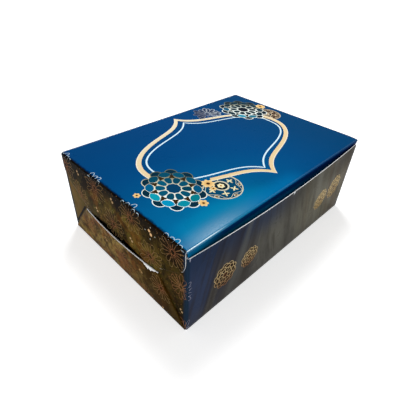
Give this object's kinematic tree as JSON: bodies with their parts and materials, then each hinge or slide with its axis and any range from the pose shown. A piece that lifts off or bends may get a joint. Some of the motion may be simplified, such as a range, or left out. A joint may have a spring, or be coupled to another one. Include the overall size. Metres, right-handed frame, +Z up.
{
  "type": "sweet box",
  "caption": "Low rectangular folding-board sweet box with a back-hinged lid, a front tuck flap and end tongues that slip into pockets on the short sides.",
  "frame": {"origin": "middle of the underside of the floor panel", "axes": "+X along the long side, -Y towards the front wall that the tuck flap goes behind, +Z up through the lid"},
  "size_m": [0.2076, 0.1448, 0.072],
  "materials": {
    "printed_blue": "gloss laminated print",
    "printed_brown": "gloss laminated print",
    "printed_navy": "gloss laminated print",
    "plain_board": "uncoated grey-white board",
    "glue": "dried adhesive"
  },
  "bodies": {
    "tray": {"bottom_panel": "plain_board", "front_wall": "printed_navy", "back_wall": "printed_navy", "front_left_dust_flap": "printed_brown", "front_right_dust_flap": "printed_brown", "back_left_dust_flap": "printed_brown", "back_right_dust_flap": "printed_brown", "left_pocket_flap": "printed_brown", "right_pocket_flap": "printed_brown", "bottom_front_crease": "printed_navy", "bottom_back_crease": "printed_navy", "bottom_left_crease": "printed_brown", "bottom_right_crease": "printed_brown", "front_left_corner_crease": "printed_navy", "front_right_corner_crease": "printed_navy", "back_left_corner_crease": "printed_navy", "back_right_corner_crease": "printed_navy", "front_left_glue": "glue", "front_right_glue": "glue", "back_left_glue": "glue", "back_right_glue": "glue", "lid_back_crease": "printed_blue"},
    "lid": {"lid_panel": "printed_blue", "lid_tuck_crease": "printed_blue", "left_lid_crease": "printed_blue", "right_lid_crease": "printed_blue"},
    "tuck_flap": {"lid_tuck_flap": "printed_blue"},
    "left_end_flap": {"left_lid_end_flap": "printed_brown"},
    "right_end_flap": {"right_lid_end_flap": "printed_brown"}
  },
  "joints": [
    {"name": "lid_hinge", "type": "hinge", "parent": "tray", "child": "lid", "pos_m": [0, 0.07, 0.0715], "axis": [-1, 0, 0], "range_deg": [0, 180]},
    {"name": "tuck_flap_hinge", "type": "hinge", "parent": "lid", "child": "tuck_flap", "pos_m": [0, -0.0695, 0.0715], "axis": [1, 0, 0], "range_deg": [0, 75]},
    {"name": "left_end_flap_hinge", "type": "hinge", "parent": "lid", "child": "left_end_flap", "pos_m": [-0.101, 0, 0.0715], "axis": [0, 1, 0], "range_deg": [0, 32]},
    {"name": "right_end_flap_hinge", "type": "hinge", "parent": "lid", "child": "right_end_flap", "pos_m": [0.101, 0, 0.0715], "axis": [0, -1, 0], "range_deg": [0, 32]}
  ],
  "couplings": [
    {"joint": "left_end_flap_hinge", "follows": "lid_hinge", "ratio": 0.15},
    {"joint": "right_end_flap_hinge", "follows": "lid_hinge", "ratio": 0.15}
  ]
}
